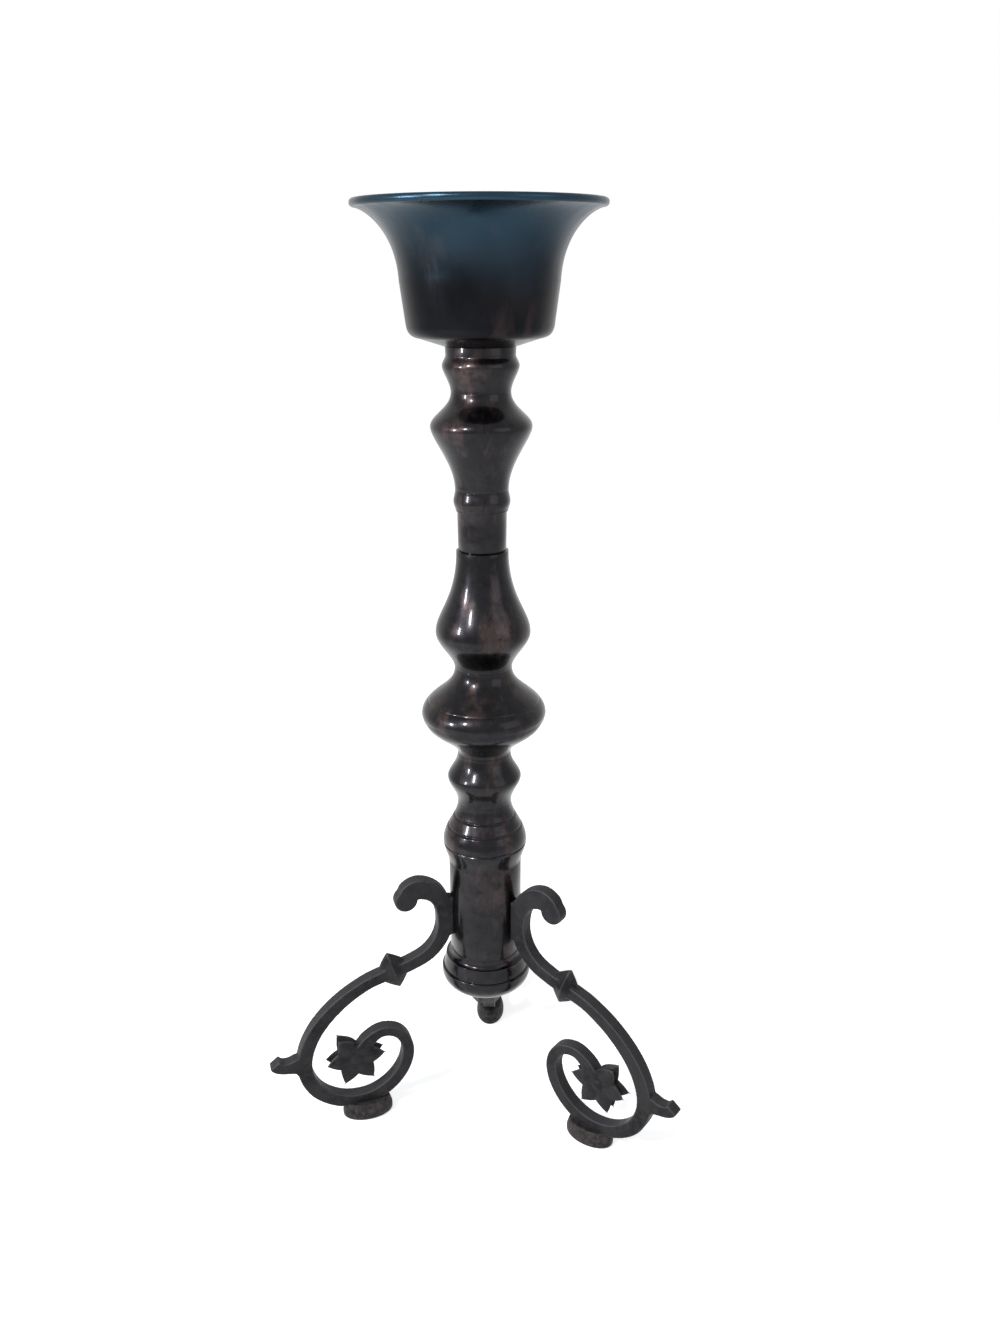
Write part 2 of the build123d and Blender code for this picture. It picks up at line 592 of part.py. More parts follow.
def foot_pad():
    """Oval pad under the volute, rounded at the floor and drawn in at the top."""
    lower = Ellipse(PAD_HALF_LENGTH, PAD_HALF_WIDTH)
    pad = extrude(lower, PAD_WAIST_HEIGHT)
    pad = fillet(pad.edges().group_by(Axis.Z)[0], PAD_EDGE)
    middle = Pos(0, 0, PAD_WAIST_HEIGHT) * Ellipse(PAD_HALF_LENGTH, PAD_HALF_WIDTH)
    upper = Pos(0, 0, PAD_HEIGHT) * Ellipse(PAD_TOP_HALF_LENGTH, PAD_TOP_HALF_WIDTH)
    pad += loft([middle, upper])
    pad -= Cylinder(PAD_SCREW_RADIUS, 4 * PAD_HEIGHT)
    pad -= Cylinder(PAD_SCREW_HEAD_RADIUS, PAD_SCREW_RECESS, align=(Align.CENTER, Align.CENTER, Align.MIN))
    pad -= Pos(0, 0, PAD_SCREW_RECESS) * Cone(
        PAD_SCREW_HEAD_RADIUS, PAD_SCREW_RADIUS, PAD_SCREW_HEAD_HEIGHT, align=(Align.CENTER, Align.CENTER, Align.MIN)
    )
    return Pos(DRUM_RADIUS + PAD_OUT, 0, 0) * pad


def foot_screw():
    """Countersunk screw up through the pad into the volute."""
    head = Cone(
        PAD_SCREW_HEAD_RADIUS, PAD_SCREW_RADIUS, PAD_SCREW_HEAD_HEIGHT, align=(Align.CENTER, Align.CENTER, Align.MIN)
    )
    reach = PAD_HEIGHT + PAD_SCREW_BITE - PAD_SCREW_RECESS
    shank = Cylinder(PAD_SCREW_RADIUS, reach, align=(Align.CENTER, Align.CENTER, Align.MIN))
    screw = head + shank - Box(4 * PAD_SCREW_HEAD_RADIUS, SCREW_SLOT_WIDTH, SCREW_SLOT_DEPTH)
    return Pos(DRUM_RADIUS + PAD_OUT, 0, PAD_SCREW_RECESS) * screw


def save(name, *solids):
    """Write one node."""
    shape = solids[0] if len(solids) == 1 else Compound(children=list(solids))
    export_step(shape, f"parts/{name}.step")


def build():
    os.makedirs("parts", exist_ok=True)
    save("tie_rod_nut", tie_rod_nut())
    save("tie_rod_washer", tie_rod_washer())
    save("base_collar", base_collar())
    save("base_drum", base_drum())
    save("ringed_knop", Pos(0, 0, RINGED_KNOP_FOOT) * ringed_knop())
    save("small_knop", Pos(0, 0, SMALL_KNOP_FOOT) * small_knop())
    save("disc_knop", Pos(0, 0, DISC_KNOP_FOOT) * disc_knop())
    save("vase_section", Pos(0, 0, VASE_FOOT) * vase_section())
    save("upper_stem", Pos(0, 0, UPPER_STEM_FOOT) * upper_stem())
    save("upper_knop", Pos(0, 0, UPPER_KNOP_FOOT) * upper_knop())
    save("neck_piece", Pos(0, 0, NECK_FOOT) * neck_piece())
    save("bell_cup", bell_cup())
    save("cup_washer", cup_washer())
    save("candle_socket", candle_socket())
    save("tie_rod", tie_rod())
    scroll_leg = leg()
    screws = leg_screws()
    pad = foot_pad()
    pad_screw = foot_screw()
    for side, direction in LEG_DIRECTIONS.items():
        about_column = Rot(0, 0, direction)
        save(f"leg_{side}", about_column * scroll_leg)
        save(f"leg_screws_{side}", *[about_column * screw for screw in screws])
        save(f"foot_pad_{side}", about_column * pad)
        save(f"foot_screw_{side}", about_column * pad_screw)


build()
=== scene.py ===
import math
import bmesh
import bpy
from mathutils import Matrix, Vector
from mathutils.geometry import interpolate_bezier


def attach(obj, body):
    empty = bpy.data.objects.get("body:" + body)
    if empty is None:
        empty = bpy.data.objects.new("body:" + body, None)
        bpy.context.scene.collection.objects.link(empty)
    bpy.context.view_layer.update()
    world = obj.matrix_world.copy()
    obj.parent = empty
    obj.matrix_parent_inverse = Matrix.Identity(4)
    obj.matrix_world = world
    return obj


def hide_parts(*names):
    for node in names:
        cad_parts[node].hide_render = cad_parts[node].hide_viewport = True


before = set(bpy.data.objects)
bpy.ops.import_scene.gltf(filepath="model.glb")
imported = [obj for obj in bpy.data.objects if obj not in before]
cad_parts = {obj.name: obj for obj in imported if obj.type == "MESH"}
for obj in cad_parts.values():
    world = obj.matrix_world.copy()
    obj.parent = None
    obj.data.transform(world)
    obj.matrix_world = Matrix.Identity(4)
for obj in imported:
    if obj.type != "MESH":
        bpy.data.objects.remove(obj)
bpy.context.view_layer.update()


# Tie rod, its washer and nut: plain steel bar and turned steel, darkened with age.
# The rod runs up the middle of the column; the nut under the collar draws the
# whole stack of sections tight.
def put(tree, kind, sockets=None, **settings):
    """A shader node with its settings, and each socket given a value or a link."""
    made = tree.nodes.new("ShaderNode" + kind)
    for key, value in settings.items():
        setattr(made, key, value)
    for key, value in (sockets or {}).items():
        if isinstance(value, bpy.types.NodeSocket):
            tree.links.new(value, made.inputs[key])
        else:
            made.inputs[key].default_value = value
    return made


def effect(name, inputs, outputs):
    """An empty shader node group with named float or colour sockets."""
    group = bpy.data.node_groups.new(name, "ShaderNodeTree")
    for label, kind in inputs.items():
        group.interface.new_socket(label, in_out="INPUT", socket_type="NodeSocket" + kind)
    for label, kind in outputs.items():
        group.interface.new_socket(label, in_out="OUTPUT", socket_type="NodeSocket" + kind)
    return group, group.nodes.new("NodeGroupInput"), group.nodes.new("NodeGroupOutput")


def speckle():
    """Mottled skin of old metal: broad clouds, small stains and fine pits."""
    group, given, out = effect(
        "mottle",
        {"Cloud Scale": "Float", "Pit Scale": "Float", "Pit Amount": "Float"},
        {"Cloud": "Float", "Stain": "Float", "Height": "Float"},
    )
    place = put(group, "TexCoord").outputs["Object"]
    cloud = put(group, "TexNoise", {"Vector": place, "Scale": given.outputs["Cloud Scale"], "Detail": 4.0})
    finer = put(group, "Math", {0: given.outputs["Cloud Scale"], 1: 5.3}, operation="MULTIPLY")
    stain = put(group, "TexNoise", {"Vector": place, "Scale": finer.outputs[0], "Detail": 6.0,
                                    "Roughness": 0.65})
    stained = put(group, "MapRange", {"Value": stain.outputs["Fac"], "From Min": 0.46, "From Max": 0.68})
    pit = put(group, "TexVoronoi", {"Vector": place, "Scale": given.outputs["Pit Scale"], "Randomness": 1.0})
    hollow = put(group, "MapRange", {"Value": pit.outputs["Distance"], "From Min": 0.0, "From Max": 0.34,
                                     "To Min": 1.0, "To Max": 0.0}, interpolation_type="SMOOTHSTEP")
    some = put(group, "TexNoise", {"Vector": place, "Scale": given.outputs["Pit Scale"], "Detail": 2.0})
    chosen = put(group, "MapRange", {"Value": some.outputs["Fac"], "From Min": 0.5, "From Max": 0.62})
    pits = put(group, "Math", {0: hollow.outputs[0], 1: chosen.outputs[0]}, operation="MULTIPLY")
    amount = put(group, "Math", {0: pits.outputs[0], 1: given.outputs["Pit Amount"]}, operation="MULTIPLY")
    rough = put(group, "Math", {0: stain.outputs["Fac"], 1: amount.outputs[0]}, operation="SUBTRACT")
    group.links.new(cloud.outputs["Fac"], out.inputs["Cloud"])
    group.links.new(stained.outputs[0], out.inputs["Stain"])
    group.links.new(rough.outputs[0], out.inputs["Height"])
    return group


def mixed(tree, factor, first, second):
    """Colour between two others."""
    return put(tree, "Mix", {0: factor, 6: first, 7: second}, data_type="RGBA").outputs[2]


def ranged(tree, value, low, high, to_low=0.0, to_high=1.0):
    """A value carried from one range to another and held at its ends."""
    sockets = {"Value": value, "From Min": low, "From Max": high, "To Min": to_low, "To Max": to_high}
    return put(tree, "MapRange", sockets).outputs[0]


def metal(name, **sockets):
    """A fresh material, its node tree and its Principled shader."""
    material = bpy.data.materials.new(name)
    material.use_nodes = True
    shader = material.node_tree.nodes["Principled BSDF"]
    for key, value in sockets.items():
        shader.inputs[key.replace("_", " ")].default_value = value
    return material, material.node_tree, shader


def finish_node(name, material):
    """Give a kept CAD node its finish."""
    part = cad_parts[name]
    part.data.materials.clear()
    part.data.materials.append(material)


MOTTLE = speckle()
SWELL_DEPTH = 0.001


def old_skin(tree, cloud_scale, pit_scale, pit_amount):
    """The mottled skin at a metal's own scales."""
    scales = {"Cloud Scale": cloud_scale, "Pit Scale": pit_scale, "Pit Amount": pit_amount}
    return put(tree, "Group", scales, node_tree=MOTTLE)


def relief(tree, shader, skin, strength, depth, swell=0.0):
    """Fine unevenness of the skin, and for castings a broad swelling over it."""
    bump = put(tree, "Bump", {"Height": skin.outputs["Height"], "Strength": strength, "Distance": depth})
    if swell:
        bump = put(tree, "Bump", {"Height": skin.outputs["Cloud"], "Strength": swell, "Distance": SWELL_DEPTH,
                                  "Normal": bump.outputs[0]})
    tree.links.new(bump.outputs[0], shader.inputs["Normal"])


STEEL_DARK, STEEL_LIGHT, TARNISH = (0.035, 0.034, 0.036, 1), (0.08, 0.077, 0.078, 1), (0.03, 0.024, 0.02, 1)
plain_steel, tree, shader = metal("plain_steel", Metallic=1.0)
skin = old_skin(tree, 90.0, 900.0, 0.8)
tone = mixed(tree, skin.outputs["Cloud"], STEEL_DARK, STEEL_LIGHT)
tree.links.new(mixed(tree, skin.outputs["Stain"], tone, TARNISH), shader.inputs["Base Color"])
tree.links.new(ranged(tree, skin.outputs["Cloud"], 0.3, 0.7, 0.32, 0.5), shader.inputs["Roughness"])
relief(tree, shader, skin, 0.2, 0.0002)
for name in ("tie_rod", "tie_rod_washer", "tie_rod_nut"):
    finish_node(name, plain_steel)


# Base collar: a bronze casting turned all over, with a rounded underside, a rolled
# lip, a flat band and a cove. It plugs the drum from below and is held by the nut.
MM = 0.001
TURNS = 144
SAME_POINT = 1e-6
KEEN_ANGLE, CREASE_ANGLE = 0.5, 1.0
TURNED_EASE, CUP_EASE = 0.1, 0.4
BORE_RADIUS = 5.3
SPIGOT_RADIUS, SPIGOT_HEIGHT, SPIGOT_CHAMFER = 9.0, 4.0, 0.5
REGISTER_RADIUS, REGISTER_DEPTH = 9.1, 4.4
COLLAR_FOOT, COLLAR_HEIGHT = 75.0, 26.0
DRUM_FOOT, DRUM_RADIUS, DRUM_INSIDE = COLLAR_FOOT + COLLAR_HEIGHT, 20.1, 16.1


def sweep(start, reach_start, reach_end, end, steps=22):
    """Points of a turned curve in (radius, height), from its ends and two handles."""
    points = [Vector((radius, 0, height)) for radius, height in (start, reach_start, reach_end, end)]
    return [(point.x, point.z) for point in interpolate_bezier(*points, steps)]


def ogee(low, high, reach_low, reach_high):
    """Turned curve between two places where the wall stands upright."""
    return sweep(low, (low[0], low[1] + reach_low), (high[0], high[1] - reach_high), high)


def break_edges(shape, edges, width, segments, clamp=False):
    """Round edges off by a width in millimetres."""
    bmesh.ops.bevel(shape, geom=edges, offset=width * MM, offset_type="OFFSET", segments=segments, profile=0.5,
                    affect="EDGES", material=-1, clamp_overlap=clamp)


def ease_and_shade(mesh_data, width):
    """Break the sharp edges as use does, then shade smooth between what is still sharp."""
    keen = [edge for edge in mesh_data.edges if edge.is_manifold and edge.calc_face_angle() > KEEN_ANGLE]
    break_edges(mesh_data, keen, width, 2, True)
    for face in mesh_data.faces:
        face.smooth = True
    for edge in mesh_data.edges:
        edge.smooth = not edge.is_manifold or edge.calc_face_angle() < CREASE_ANGLE


def piece(name, mesh_data, material, slot, *nodes):
    """Make the mesh a piece that rides with the part and stands for its CAD nodes."""
    mesh = bpy.data.meshes.new(name)
    mesh_data.to_mesh(mesh)
    mesh_data.free()
    made = bpy.data.objects.new(name, mesh)
    bpy.context.scene.collection.objects.link(made)
    mesh.materials.append(material)
    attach(made, "root")
    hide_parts(*nodes)


def turned(name, foot, outline, material, slot, ease=TURNED_EASE):
    """A lathe-turned piece: a closed (radius, height) outline spun about the column."""
    turning = bmesh.new()
    ring = []
    for radius, height in outline:
        point = Vector((radius * MM, 0, (foot + height) * MM))
        if not ring or (point - ring[-1].co).length > SAME_POINT:
            ring.append(turning.verts.new(point))
    rim = [turning.edges.new(pair) for pair in zip(ring, ring[1:] + ring[:1])]
    bmesh.ops.spin(turning, geom=ring + rim, cent=(0, 0, 0), axis=(0, 0, 1), dvec=(0, 0, 0), angle=math.tau,
                   steps=TURNS, use_merge=True)
    bmesh.ops.remove_doubles(turning, verts=turning.verts, dist=SAME_POINT)
    bmesh.ops.recalc_face_normals(turning, faces=turning.faces)
    ease_and_shade(turning, ease)
    piece(name, turning, material, slot, name)


def drawn_out(tree, squash, scale):
    """Noise drawn out along the column, as patina and wear run."""
    place = put(tree, "TexCoord").outputs["Object"]
    drawn = put(tree, "Mapping", {"Vector": place, "Scale": (1.0, 1.0, squash)}).outputs[0]
    grain = {"Vector": drawn, "Scale": scale, "Detail": 5.0, "Roughness": 0.6}
    return put(tree, "TexNoise", grain).outputs["Fac"]


BRONZE_DARK, BRONZE_LIGHT = (0.008, 0.008, 0.01, 1), (0.017, 0.015, 0.017, 1)
BRONZE_BROWN, BRONZE_GRIME = (0.046, 0.031, 0.03, 1), (0.006, 0.006, 0.007, 1)
bronze, tree, shader = metal("dark_bronze", Metallic=1.0, Coat_Weight=0.25, Coat_Roughness=0.09)
skin = old_skin(tree, 34.0, 420.0, 0.9)
flow = drawn_out(tree, 0.3, 75.0)
tone = mixed(tree, ranged(tree, skin.outputs["Cloud"], 0.35, 0.65), BRONZE_DARK, BRONZE_LIGHT)
tone = mixed(tree, ranged(tree, flow, 0.5, 0.66), tone, BRONZE_BROWN)
tone = mixed(tree, skin.outputs["Stain"], tone, BRONZE_GRIME)
tree.links.new(tone, shader.inputs["Base Color"])
tree.links.new(ranged(tree, flow, 0.35, 0.7, 0.24, 0.42), shader.inputs["Roughness"])
relief(tree, shader, skin, 0.25, 0.0002, 0.35)

COLLAR_RADIUS, LIP_TOP, BAND_TOP = 25.3, 14.0, 21.5
COLLAR_SPIGOT, COLLAR_TOP, COLLAR_HOLLOW, COLLAR_FLOOR = 16.0, 32.0, 12.0, 8.0
collar = [(BORE_RADIUS, 0.0)]
collar += sweep((13.5, 0.0), (21.3, 1.2), (COLLAR_RADIUS, 6.0), (COLLAR_RADIUS, 11.0))
collar += sweep((COLLAR_RADIUS, 12.6), (COLLAR_RADIUS, 13.4), (25.1, LIP_TOP), (24.5, LIP_TOP), 6)
collar += ogee((24.2, LIP_TOP), (22.8, BAND_TOP), 2.0, 1.0)
collar += sweep((22.0, BAND_TOP), (20.5, 22.2), (DRUM_RADIUS, 23.4), (DRUM_RADIUS, COLLAR_HEIGHT), 10)
collar += [(COLLAR_SPIGOT, COLLAR_HEIGHT), (COLLAR_SPIGOT, COLLAR_TOP - SPIGOT_CHAMFER)]
collar += [(COLLAR_SPIGOT - SPIGOT_CHAMFER, COLLAR_TOP), (COLLAR_HOLLOW, COLLAR_TOP)]
collar += [(COLLAR_HOLLOW, COLLAR_FLOOR), (BORE_RADIUS, COLLAR_FLOOR)]
turned("base_collar", COLLAR_FOOT, collar, bronze, "dark_bronze")


# Base drum: a plain bronze tube with a bored top plate. The three legs are screwed
# to its wall from inside, and the lowest knop registers on its top.
COUNTERBORE = [(BORE_RADIUS, REGISTER_DEPTH), (REGISTER_RADIUS, REGISTER_DEPTH), (REGISTER_RADIUS, 0.0)]


def spigot(height, rise=SPIGOT_HEIGHT):
    """The register on top of a section, in to its bore."""
    top, end = height + rise, SPIGOT_RADIUS - SPIGOT_CHAMFER
    return [(SPIGOT_RADIUS, height), (SPIGOT_RADIUS, top - SPIGOT_CHAMFER), (end, top), (BORE_RADIUS, top)]


def stacked(name, foot, height, side):
    """A column section: its side, a spigot on top and a counterbored foot."""
    turned(name, foot, side + spigot(height) + COUNTERBORE, bronze, "dark_bronze")


DRUM_HEIGHT, DRUM_PLATE, DRUM_STEPS = 56.0, 50.0, 4
drum = [(DRUM_INSIDE, 0.0)]
drum += [(DRUM_RADIUS, DRUM_HEIGHT * step / DRUM_STEPS) for step in range(DRUM_STEPS + 1)]
drum += spigot(DRUM_HEIGHT) + [(BORE_RADIUS, DRUM_PLATE), (DRUM_INSIDE, DRUM_PLATE)]
turned("base_drum", DRUM_FOOT, drum, bronze, "dark_bronze")


# Ringed, small and disc knops: bronze castings turned to a bulb each. Ring lines are
# cut with the tool's point, three round the lowest knop and one on the widest.
def scored(side, rings, depth=0.7, width=1.6):
    """The side of a knop with a turned line cut in at each height."""
    cut = []
    for radius, height in side:
        near = min(abs(height - ring) for ring in rings)
        cut.append((radius - depth * max(0.0, 1 - near / (width / 2)), height))
    return cut


def fine_side(low, high, reach_low, reach_high, steps=90):
    """An ogee with enough points for cut lines."""
    return sweep(low, (low[0], low[1] + reach_low), (high[0], high[1] - reach_high), high, steps)


RINGED_FOOT, RINGED_HEIGHT = DRUM_FOOT + DRUM_HEIGHT, 36.0
RINGED_WIDEST, RINGED_TOP = (23.1, 12.0), (14.7, RINGED_HEIGHT)
RINGED_LINES = (11.0, 21.2, 27.6)
ringed = fine_side((20.3, 0.0), RINGED_WIDEST, 3.0, 4.4, 40) + fine_side(RINGED_WIDEST, RINGED_TOP, 9.0, 9.0)
stacked("ringed_knop", RINGED_FOOT, RINGED_HEIGHT, scored(ringed, RINGED_LINES))

SMALL_FOOT, SMALL_HEIGHT = RINGED_FOOT + RINGED_HEIGHT, 29.0
SMALL_WIDEST, SMALL_TOP = (20.0, 14.6), (14.4, SMALL_HEIGHT)
small = ogee((RINGED_TOP[0], 0.0), SMALL_WIDEST, 6.0, 4.0) + ogee(SMALL_WIDEST, SMALL_TOP, 3.4, 7.0)
stacked("small_knop", SMALL_FOOT, SMALL_HEIGHT, small)

DISC_FOOT, DISC_HEIGHT, DISC_LEDGE = SMALL_FOOT + SMALL_HEIGHT, 48.5, 19.9
DISC_WIDEST, DISC_TOP = (33.2, 22.8), (15.2, DISC_HEIGHT)
DISC_LINE, DISC_LINE_DEPTH, DISC_LINE_WIDTH = 30.2, 0.35, 1.2
disc = sweep((SMALL_TOP[0], 0.0), (SMALL_TOP[0], 7.2), (32.0, 12.4), (31.7, DISC_LEDGE), 30)
disc += ogee((32.6, DISC_LEDGE), DISC_WIDEST, 1.0, 1.0)
disc += scored(fine_side(DISC_WIDEST, DISC_TOP, 10.6, 12.0), (DISC_LINE,), DISC_LINE_DEPTH, DISC_LINE_WIDTH)
stacked("disc_knop", DISC_FOOT, DISC_HEIGHT, disc)


# Vase, stem and upper knop: the slender middle of the column, cast and turned. A
# small step at the top of the vase and a bead on the stem mark the joints.
VASE_FOOT, VASE_HEIGHT, VASE_WIDEST = DISC_FOOT + DISC_HEIGHT, 63.0, (24.9, 19.5)
vase = ogee((DISC_TOP[0], 0.0), VASE_WIDEST, 6.5, 6.5) + ogee(VASE_WIDEST, (13.4, VASE_HEIGHT), 10.0, 25.0)
stacked("vase_section", VASE_FOOT, VASE_HEIGHT, vase)

STEM_FOOT, STEM_HEIGHT = VASE_FOOT + VASE_HEIGHT, 31.0
BEAD_FOOT, BEAD_WIDEST, STEM_TOP = (13.3, 20.5), (14.4, 25.5), (13.5, STEM_HEIGHT)
stem = [(12.3, 0.0), (12.4, 7.0), (12.5, 14.0), (12.6, 20.5), BEAD_FOOT]
stem += ogee(BEAD_FOOT, BEAD_WIDEST, 1.6, 2.2) + ogee(BEAD_WIDEST, STEM_TOP, 1.8, 1.8)
stacked("upper_stem", STEM_FOOT, STEM_HEIGHT, stem)

KNOP_FOOT, KNOP_HEIGHT, KNOP_WIDEST = STEM_FOOT + STEM_HEIGHT, 48.0, (25.3, 31.5)
knop = ogee((STEM_TOP[0], 0.0), KNOP_WIDEST, 13.3, 5.9) + ogee(KNOP_WIDEST, (14.8, KNOP_HEIGHT), 5.5, 7.7)
stacked("upper_knop", KNOP_FOOT, KNOP_HEIGHT, knop)


# Neck: a short turned bronze piece with one bead. Its spigot passes through the
# floor of the cup and centres it.
NECK_FOOT, NECK_HEIGHT, NECK_SPIGOT = KNOP_FOOT + KNOP_HEIGHT, 21.5, 3.2
NECK_WIDEST, NECK_TOP_RADIUS = (18.9, 12.5), 17.3
neck = ogee((14.8, 0.0), NECK_WIDEST, 4.5, 3.1) + ogee(NECK_WIDEST, (17.1, 17.5), 1.8, 1.2)
neck += [(NECK_TOP_RADIUS, NECK_HEIGHT)] + spigot(NECK_HEIGHT, NECK_SPIGOT) + COUNTERBORE
turned("neck_piece", NECK_FOOT, neck, bronze, "dark_bronze")


# Bell cup: thin spun or cast bronze, flared at the mouth, with a rolled lip. A blue-grey
# painted reflection lies on the flare, over the dark brown of the body.
CUP_DARK, CUP_LIGHT = (0.007, 0.008, 0.01, 1), (0.014, 0.013, 0.015, 1)
CUP_BROWN, CUP_PAINTED_SHEEN = (0.028, 0.021, 0.021, 1), (0.02, 0.042, 0.062, 1)
SHEEN_FROM, SHEEN_TO, SHEEN_WAVER = 0.474, 0.516, 0.03
cup_bronze, tree, shader = metal("cup_bronze", Metallic=1.0)
skin = old_skin(tree, 26.0, 300.0, 0.6)
flow = drawn_out(tree, 0.25, 60.0)
place = put(tree, "TexCoord").outputs["Object"]
height = put(tree, "SeparateXYZ", {"Vector": place}).outputs["Z"]
# Painted reflection: the flare, high on the cup, is tinted blue-grey, with its lower edge wavering with the
# clouds.
sheen_height = put(tree, "Math", {0: skin.outputs["Cloud"], 1: SHEEN_WAVER, 2: height}, operation="MULTIPLY_ADD")
tone = mixed(tree, ranged(tree, skin.outputs["Cloud"], 0.35, 0.65), CUP_DARK, CUP_LIGHT)
tone = mixed(tree, ranged(tree, flow, 0.54, 0.7), tone, CUP_BROWN)
tone = mixed(tree, ranged(tree, sheen_height.outputs[0], SHEEN_FROM, SHEEN_TO), tone, CUP_PAINTED_SHEEN)
tree.links.new(tone, shader.inputs["Base Color"])
tree.links.new(ranged(tree, flow, 0.35, 0.7, 0.24, 0.4), shader.inputs["Roughness"])
relief(tree, shader, skin, 0.2, 0.0002, 0.25)

CUP_FOOT, CUP_HEIGHT, CUP_WALL, CUP_FLOOR = NECK_FOOT + NECK_HEIGHT, 66.0, 2.2, 3.6
LIP_RADIUS, LIP, LIP_ROLL, LIP_STEPS = 58.9, 3.6, 1.4, 12
CORNER, CORNER_FOOT, CORNER_RADIUS = 5.6, 4.0, 35.7


def cup_side(wall):
    """The cup's side from its rounded corner to the lip, drawn in by a wall."""
    soft = CORNER - wall
    low, high = (30.1, CORNER_FOOT + wall), (CORNER_RADIUS - wall, CORNER_FOOT + CORNER)
    foot, lip = (38.4 - wall, 30.0), (LIP_RADIUS, CUP_HEIGHT - LIP + wall)
    low_reach = (low[0] + 0.7 * soft, low[1] + 0.1 * soft)
    high_reach = (high[0] - 0.1 * soft, high[1] - 0.5 * soft)
    corner = sweep(low, low_reach, high_reach, high, 12)
    flare = sweep(foot, (foot[0] + 1.0, foot[1] + 21.5), (lip[0] - 6.6, lip[1] - 1.2), lip, 34)
    return corner + [((high[0] + foot[0]) / 2, (high[1] + foot[1]) / 2)] + flare


half_turn = [math.pi * step / LIP_STEPS for step in range(1, LIP_STEPS)]
roll = [(LIP_RADIUS + LIP_ROLL * math.sin(turn), CUP_HEIGHT - LIP / 2 - LIP / 2 * math.cos(turn))
        for turn in half_turn]
cup = [(REGISTER_RADIUS, 0.0), (NECK_TOP_RADIUS, 0.0)] + cup_side(0) + roll + [(LIP_RADIUS, CUP_HEIGHT)]
cup += list(reversed(cup_side(CUP_WALL))) + [(20.0, CUP_FLOOR), (REGISTER_RADIUS, CUP_FLOOR)]
turned("bell_cup", CUP_FOOT, cup, cup_bronze, "dark_bronze", CUP_EASE)


# Candle socket and its washer: turned brass, tarnished. The socket screws down on the
# rod's top end and clamps the cup's floor through the washer.
BRASS_DARK, BRASS_LIGHT = (0.1, 0.065, 0.03, 1), (0.26, 0.17, 0.075, 1)
brass, tree, shader = metal("socket_brass", Metallic=1.0)
skin = old_skin(tree, 60.0, 500.0, 0.6)
tone = mixed(tree, ranged(tree, skin.outputs["Cloud"], 0.35, 0.65), BRASS_DARK, BRASS_LIGHT)
tree.links.new(mixed(tree, skin.outputs["Stain"], tone, TARNISH), shader.inputs["Base Color"])
tree.links.new(ranged(tree, skin.outputs["Cloud"], 0.3, 0.7, 0.3, 0.5), shader.inputs["Roughness"])
relief(tree, shader, skin, 0.2, 0.0002)
finish_node("cup_washer", brass)

WASHER_THICKNESS = 1.5
SOCKET_FOOT, SOCKET_HEIGHT = CUP_FOOT + CUP_FLOOR + WASHER_THICKNESS, 38.0
SOCKET_FLANGE, SOCKET_RADIUS, SOCKET_LIP, TAPER_RADIUS = 16.5, 13.8, 14.6, 11.3
TAPER_FLOOR, THREAD_RADIUS, THREAD_TOP = 10.0, 5.0, 8.0
socket = [(THREAD_RADIUS, 0.0), (SOCKET_FLANGE, 0.0), (SOCKET_FLANGE, 2.5), (SOCKET_RADIUS, 4.0)]
socket += [(SOCKET_RADIUS, SOCKET_HEIGHT - 2.4), (SOCKET_LIP, SOCKET_HEIGHT - 1.6), (SOCKET_LIP, SOCKET_HEIGHT)]
socket += [(TAPER_RADIUS, SOCKET_HEIGHT), (TAPER_RADIUS, TAPER_FLOOR), (0.0, TAPER_FLOOR), (0.0, THREAD_TOP)]
socket += [(THREAD_RADIUS, THREAD_TOP)]
turned("candle_socket", SOCKET_FOOT, socket, brass, "socket_brass")


# Legs: three iron castings from one pattern, each a flat scroll with a ridged
# knuckle, a spur at the heel and a flower in the volute, fettled by hand.
IRON_DARK, IRON_LIGHT, IRON_STAIN = (0.006, 0.006, 0.008, 1), (0.021, 0.021, 0.024, 1), (0.024, 0.021, 0.02, 1)
IRON_PAINTED_TOPLIGHT, IRON_WORN = (0.038, 0.038, 0.042, 1), (0.06, 0.06, 0.064, 1)
iron, tree, shader = metal("cast_iron", Metallic=0.3, Specular_IOR_Level=0.12)
skin = old_skin(tree, 40.0, 520.0, 1.0)
worn = ranged(tree, put(tree, "NewGeometry").outputs["Pointiness"], 0.51, 0.56)
upward = put(tree, "SeparateXYZ", {"Vector": put(tree, "NewGeometry").outputs["Normal"]}).outputs["Z"]
tone = mixed(tree, ranged(tree, skin.outputs["Cloud"], 0.35, 0.65), IRON_DARK, IRON_LIGHT)
tone = mixed(tree, skin.outputs["Stain"], tone, IRON_STAIN)
# Painted light: surfaces that face upward are made lighter, as if lit from above.
tone = mixed(tree, ranged(tree, upward, 0.4, 1.0, 0.0, 0.7), tone, IRON_PAINTED_TOPLIGHT)
tone = mixed(tree, worn, tone, IRON_WORN)
tree.links.new(tone, shader.inputs["Base Color"])
tree.links.new(ranged(tree, skin.outputs["Cloud"], 0.3, 0.7, 0.42, 0.6), shader.inputs["Roughness"])
relief(tree, shader, skin, 0.9, 0.0006, 0.4)

